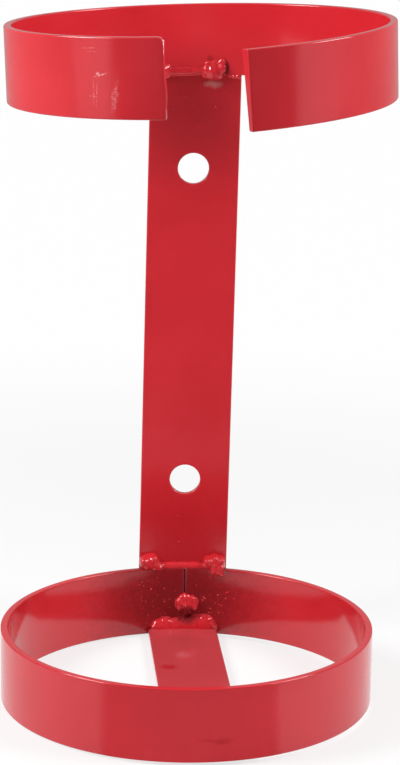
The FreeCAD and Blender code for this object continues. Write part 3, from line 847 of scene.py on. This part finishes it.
def enamel(name, marks=(), roughness=GLOSS, peel=1.0, scuffs=None):
    """Red gloss enamel, whose tone drifts between a thick and a thin coat over dimples, waves and nibs.

    marks are (centre, size, hex colour, strength, options of mark) in millimetres; scuffs are (centre, size,
    tilt, strength) of pale, matt, grainy lines.
    """
    material, tree, output = new_material(name)
    coordinates = add_node(tree, "TexCoord").outputs["Object"]
    place = add_node(tree, "VectorMath", {0: coordinates, "Scale": 1 / MM}, operation="SCALE").outputs[0]
    drift = add_node(tree, "TexNoise", {"Vector": place, "Scale": 1 / DRIFT_SIZE, "Detail": 3.0}).outputs["Fac"]
    ramp = add_node(tree, "ValToRGB", {"Fac": drift})
    thick, thin = ramp.color_ramp.elements[0], ramp.color_ramp.elements[1]
    thick.position, thick.color = THICK_BELOW, linear(ENAMEL_THICK)
    thin.position, thin.color = THIN_ABOVE, linear(ENAMEL_THIN)
    middle = ramp.color_ramp.elements.new(0.5)
    middle.color = linear(ENAMEL_RED)
    colour = ramp.outputs["Color"]
    for centre, size, code, strength, options in marks:
        mask = mark(tree, place, centre, size, **options)
        amount = add_node(tree, "Math", {0: mask, 1: strength}, operation="MULTIPLY").outputs[0]
        colour = add_node(tree, "Mix", {0: amount, 6: colour, 7: linear(code)}, data_type="RGBA").outputs[2]
    rough = roughness
    if scuffs:
        grains = add_node(tree, "TexNoise", {"Vector": place, "Scale": 1.7, "Detail": 3.0}).outputs["Fac"]
        grains = add_node(tree, "MapRange", {"Value": grains, "From Min": 0.4, "From Max": 0.6}).outputs[0]
        scuffed = 0.0
        for centre, size, tilt, strength in scuffs:
            line = mark(tree, place, centre, size, ragged=0.9, core=0.2, tilt=tilt)
            line = add_node(tree, "Math", {0: line, 1: strength}, operation="MULTIPLY").outputs[0]
            scuffed = add_node(tree, "Math", {0: scuffed, 1: line}, operation="MAXIMUM").outputs[0]
        scuffed = add_node(tree, "Math", {0: scuffed, 1: grains}, operation="MULTIPLY").outputs[0]
        colour = add_node(tree, "Mix", {0: scuffed, 6: colour, 7: linear(SCUFF_PALE)},
                          data_type="RGBA").outputs[2]
        rough = add_node(tree, "MapRange", {"Value": scuffed, "To Min": roughness,
                                           "To Max": SCUFFED_GLOSS}).outputs[0]
    dimples = add_node(tree, "TexNoise", {"Vector": place, "Scale": 1 / PEEL_SIZE, "Detail": 2.0}).outputs["Fac"]
    waves = add_node(tree, "TexNoise", {"Vector": place, "Scale": 1 / WAVE_SIZE, "Detail": 1.0}).outputs["Fac"]
    specks = add_node(tree, "TexVoronoi", {"Vector": place, "Scale": 1 / NIB_SPACING}).outputs["Distance"]
    nibs = add_node(tree, "MapRange", {"Value": specks, "From Min": 0.02, "From Max": 0.05,
                                       "To Min": 1.0, "To Max": 0.0}).outputs[0]
    before = {}
    for height, depth in ((waves, WAVE_DEPTH * MM), (dimples, PEEL_DEPTH * MM * peel), (nibs, NIB_DEPTH * MM)):
        bump = add_node(tree, "Bump", {"Height": height, "Distance": depth, "Strength": 1.0, **before})
        before = {"Normal": bump.outputs[0]}
    paint = add_node(tree, "BsdfPrincipled", {"Base Color": colour, "Roughness": rough, "IOR": 1.5,
                                              "Specular IOR Level": SPECULAR_LEVEL,
                                              "Specular Tint": SPECULAR_TINT, **before})
    tree.links.new(paint.outputs[0], output.inputs["Surface"])
    return material


# %% Marks in the enamel
# Brown-red darkening behind the lower joint, partly heat discolouration from welding and partly painted shade
# deep inside the ring;
# a bare rough spot by the right tack, and a wipe on the front wall
HEAT_AND_SHADE_MARKS = (((-1.5, -5.0, -101.0), (44.0, 60.0, 36.0), "#6E1A1E", 0.88, {"core": 0.12}),
        ((14.2, -6.7, -90.7), (2.2, 2.0, 1.3), "#A8645C", 0.8, {"ragged": 0.8}),
        ((9.9, -128.7, -107.9), (5.0, 4.0, 1.6), "#B3121A", 0.75, {"ragged": 0.8, "core": 0.1, "tilt": 8.0}),
        ((5.0, -129.3, -107.4), (4.6, 4.0, 0.9), "#B3121A", 0.6, {"ragged": 0.8, "core": 0.1}))
# Painted shade: duller red on the plate just below the upper ring and just above the lower one, where the rings
# cut off the light;
# and the rough pinkish patch under the upper centre tack
PLATE_SHADE_AND_PATCH = (((0.0, -2.5, -98.0), (40.0, 6.0, 50.0), "#8C1C22", 0.4, {"core": 0.1}),
         ((0.0, -2.5, 74.0), (40.0, 6.0, 30.0), "#8C1C22", 0.42, {"core": 0.2}),
         ((6.2, -2.5, 87.0), (4.4, 2.0, 1.9), "#CC8280", 0.75, {"ragged": 0.8, "core": 0.1}))
# Painted shadow in the undercut along the right side of the upper centre tack, and a small dark swirl above its
# left side
CENTRE_SHADOW_AND_SWIRL = (((10.6, -6.0, 92.6), (1.1, 2.5, 3.4), "#5A1418", 0.75, {}),
               ((4.6, -5.4, 96.2), (1.5, 2.0, 1.5), "#6A181C", 0.4, {}))
# The lower half of the seam bead darkened: partly burnt paint, partly painted shade on its downward-facing side
SEAM_BURN_AND_SHADE = (((1.6, -7.0, -107.2), (6.0, 5.0, 4.6), "#5A1A1D", 0.8, {}),)
# A paler film over the whole strip, a painted sheen for the bright room that its top face mirrors;
# with a clean glossy smear and a pale rubbed spot
STRIP_SHEEN_AND_SMEARS = (((0.0, -66.0, -114.0), (150.0, 150.0, 90.0), "#A8585C", 0.42, {}),
        ((-5.4, -47.8, -112.6), (4.2, 3.2, 3.0), "#B5161E", 0.7, {"ragged": 0.9, "core": 0.3}),
        ((-0.2, -35.4, -112.5), (4.0, 4.5, 3.0), "#C8757A", 0.35, {"ragged": 0.9, "core": 0.1}))
# Pale rubs and hairlines near the left arm's end, where the cylinder goes in and out
SCUFFS = (((-33.0, -120.0, 103.1), (3.6, 4.0, 0.42), 21.5, 0.85),
          ((-33.9, -119.8, 103.4), (0.9, 4.0, 0.7), 0.0, 1.0),
          ((-36.6, -118.2, 110.9), (3.6, 4.0, 0.22), 6.0, 0.4),
          ((-36.0, -118.4, 109.9), (2.6, 4.0, 0.18), 3.0, 0.35),
          ((-35.2, -119.0, 98.0), (0.22, 4.0, 6.5), 2.0, 0.4),
          ((-34.2, -119.4, 98.4), (0.2, 4.0, 6.0), -1.0, 0.4),
          ((-35.4, -118.9, 96.4), (1.6, 4.0, 0.25), 2.0, 0.5),
          ((-28.7, -122.6, 97.2), (1.3, 4.0, 7.0), -6.0, 0.35))
# %% Enamelled pieces
plain_enamel = enamel("red_gloss_enamel")
# The plate's enamel carries painted shade near both rings
plate_enamel = enamel("red_gloss_enamel_on_plate", PLATE_SHADE_AND_PATCH)
# The upper hoop's enamel carries the scuffs and the painted shadow beside the upper centre tack
scuffed_and_shaded_enamel = enamel("red_gloss_enamel_scuffed_and_shaded", CENTRE_SHADOW_AND_SWIRL, scuffs=SCUFFS)
# The lower hoop's enamel carries painted shade behind the lower joint, mixed with the heat darkening
heated_and_shaded_enamel = enamel("red_gloss_enamel_heat_and_shade_darkened", HEAT_AND_SHADE_MARKS)
# The strip's enamel is paled all over by a painted sheen
strip_enamel_with_sheen = enamel("red_gloss_enamel_on_strip", STRIP_SHEEN_AND_SMEARS, roughness=STRIP_GLOSS)
# The beads' enamel carries the seam bead's burn and painted shade, and the painted shadow at the upper centre
# tack's right side
bead_enamel = enamel("red_gloss_enamel_on_weld", SEAM_BURN_AND_SHADE + CENTRE_SHADOW_AND_SWIRL[:1], roughness=BEAD_GLOSS,
                     peel=BEAD_PEEL)
for piece, material in ((wall_plate, plate_enamel), (upper_hoop, scuffed_and_shaded_enamel), (lower_hoop, heated_and_shaded_enamel),
                        (foot_strip, strip_enamel_with_sheen), (spatter, plain_enamel)):
    piece.data.materials.append(material)
for piece in beads:
    piece.data.materials.append(bead_enamel)
print("materials:", len(bpy.data.materials))

# %% [markdown]
# ## Floor and surroundings
#
# The bracket stands on a pale table that ends a little in front of it. To the camera the floor is mostly its
# own white, all the more so farther away, which keeps the background plain. The rest of it is an ordinary
# diffuse surface, so it still takes a soft shadow. What the paint mirrors is a room that is white at the sides
# and darker in front, where the camera stood, and dimmer again behind: that draws the bright zones at the left
# and right of each ring, with a step between them and the front. The floor in front of the lower ring is
# mirrored with the same step, as seen from a corner inside the ring. Diffuse light is kept at a plain level.

# %% What the paint mirrors
STEP_START, STEP_END = 0.53, 0.64         # cosines of the angle from straight in front
BACK_FADED, BACK_CLEAR = -0.2, 0.4
FRONT_DARK, FLOOR_DARK, BEHIND_DIM = 0.13, 0.35, 0.42


def front_sector(tree, direction, dark, behind):
    """Strength of what is mirrored: 1 at the sides, dark in front, and a share called behind at the back."""
    level = add_node(tree, "VectorMath", {0: direction, 1: (1.0, 1.0, 0.0)}, operation="MULTIPLY").outputs[0]
    level = add_node(tree, "VectorMath", {0: level}, operation="NORMALIZE").outputs[0]
    ahead = add_node(tree, "VectorMath", {0: level, 1: (0.0, -1.0, 0.0)},
                     operation="DOT_PRODUCT").outputs["Value"]
    front = add_node(tree, "MapRange", {"Value": ahead, "From Min": STEP_START, "From Max": STEP_END,
                                        "To Min": 1.0, "To Max": dark},
                     interpolation_type="SMOOTHSTEP").outputs[0]
    back = add_node(tree, "MapRange", {"Value": ahead, "From Min": BACK_FADED, "From Max": BACK_CLEAR,
                                       "To Min": behind}).outputs[0]
    return add_node(tree, "Math", {0: front, 1: back}, operation="MULTIPLY").outputs[0]


# %% Floor
FLOOR_HEIGHT = CAD_BOX[0][2]
FLOOR_LEFT, FLOOR_RIGHT, FLOOR_FRONT, FLOOR_BACK = -3.0, 3.0, -0.33, 6.0
floor_mesh = bpy.data.meshes.new("table_top")
floor_mesh.from_pydata([(FLOOR_LEFT, FLOOR_FRONT, FLOOR_HEIGHT), (FLOOR_RIGHT, FLOOR_FRONT, FLOOR_HEIGHT),
                        (FLOOR_RIGHT, FLOOR_BACK, FLOOR_HEIGHT), (FLOOR_LEFT, FLOOR_BACK, FLOOR_HEIGHT)],
                       [], [(0, 1, 2, 3)])
table_top = bpy.data.objects.new("table_top", floor_mesh)
bpy.context.scene.collection.objects.link(table_top)

SECTOR_CORNER = (0.0, -0.1017, 0.0)
FLOOR_NEAR, FLOOR_FAR = 0.13, 0.5
WHITE_NEAR, WHITE_FAR = 0.72, 0.99
MIRRORED_NEAR, MIRRORED_FAR = 0.2, 0.6
TABLE_GREY = 0.9
floor_material, tree, output = new_material("pale_table")
path = add_node(tree, "LightPath")
spot = add_node(tree, "TexCoord").outputs["Object"]
mirrored = add_node(tree, "Math", {0: path.outputs["Is Glossy Ray"], 1: path.outputs["Is Transmission Ray"]},
                    operation="ADD").outputs[0]
away = add_node(tree, "VectorMath", {0: spot}, operation="LENGTH").outputs["Value"]
plain = add_node(tree, "MapRange", {"Value": away, "From Min": FLOOR_NEAR, "From Max": FLOOR_FAR,
                                    "To Min": WHITE_NEAR, "To Max": WHITE_FAR},
                 interpolation_type="SMOOTHSTEP").outputs[0]
seen = add_node(tree, "Math", {0: path.outputs["Is Camera Ray"], 1: plain, 2: mirrored},
                operation="MULTIPLY_ADD").outputs[0]
in_front = add_node(tree, "VectorMath", {0: spot, 1: SECTOR_CORNER}, operation="SUBTRACT").outputs[0]
glossy = front_sector(tree, in_front, FLOOR_DARK, 1.0)
fading = add_node(tree, "MapRange", {"Value": away, "From Min": MIRRORED_NEAR, "From Max": MIRRORED_FAR,
                                     "To Min": 1.0, "To Max": BEHIND_DIM}).outputs[0]
glossy = add_node(tree, "Math", {0: glossy, 1: fading}, operation="MULTIPLY").outputs[0]
strength = add_node(tree, "Mix", {0: path.outputs["Is Glossy Ray"], 2: 1.0, 3: glossy}).outputs[0]
white = add_node(tree, "BsdfDiffuse", {"Color": (TABLE_GREY, TABLE_GREY, TABLE_GREY, 1.0)}).outputs[0]
glow = add_node(tree, "Emission", {"Color": (1.0, 1.0, 1.0, 1.0), "Strength": strength}).outputs[0]
mixed = add_node(tree, "MixShader", {0: seen, 1: white, 2: glow}).outputs[0]
tree.links.new(mixed, output.inputs["Surface"])
table_top.data.materials.append(floor_material)
print("floor at %.2f mm" % (FLOOR_HEIGHT / MM))

# %% World
AMBIENT = 0.29
world = bpy.data.worlds.new("white_room")
bpy.context.scene.world = world
world.use_nodes = True
tree = world.node_tree
tree.nodes.clear()
direction = add_node(tree, "TexCoord").outputs["Generated"]
mirrored_room = front_sector(tree, direction, FRONT_DARK, BEHIND_DIM)
path = add_node(tree, "LightPath")
strength = AMBIENT
for ray, shown in (("Is Glossy Ray", mirrored_room), ("Is Transmission Ray", 1.0), ("Is Camera Ray", 1.0)):
    strength = add_node(tree, "Mix", {0: path.outputs[ray], 2: strength, 3: shown}).outputs[0]
background = add_node(tree, "Background", {"Color": (1.0, 1.0, 1.0, 1.0), "Strength": strength}).outputs[0]
add_node(tree, "OutputWorld", {"Surface": background})
bpy.context.scene.view_settings.view_transform = "Standard"
print("world ready")

# %% [markdown]
# ## Lights
#
# Two small soft boxes stand close on either side, a little above the bracket and hardly in front of it, so
# they light the plate and the insides of the rings more than the fronts of the rings. Small and close, they
# also put sharp white glints on the weld beads. A large one above the camera fills the front, and is kept out
# of the reflections so that the front stays dark in them.

# %% Lights
TARGET = Vector((0.0, -0.066, 0.0))


def soft_box(name, azimuth, elevation, distance, size, watts, mirrored=True):
    """A square area light aimed at the bracket's middle.

    azimuth counts in degrees from straight in front, right positive; distance and size are in metres.
    """
    a, e = math.radians(azimuth), math.radians(elevation)
    away = Vector((math.sin(a) * math.cos(e), -math.cos(a) * math.cos(e), math.sin(e)))
    data = bpy.data.lights.new(name, "AREA")
    data.shape, data.size, data.energy = "SQUARE", size, watts
    lamp = bpy.data.objects.new(name, data)
    bpy.context.scene.collection.objects.link(lamp)
    lamp.location = TARGET + away * distance
    lamp.rotation_euler = away.to_track_quat("Z", "Y").to_euler()
    lamp.visible_glossy = mirrored
    lamp.visible_camera = False


soft_box("box_over_camera", -3.0, 22.0, 1.6, 0.9, 2.6, mirrored=False)
soft_box("box_left", -78.0, 38.0, 0.52, 0.2, 2.3)
soft_box("box_right", 78.0, 38.0, 0.52, 0.2, 1.8)
print("lights:", len(bpy.data.lights))
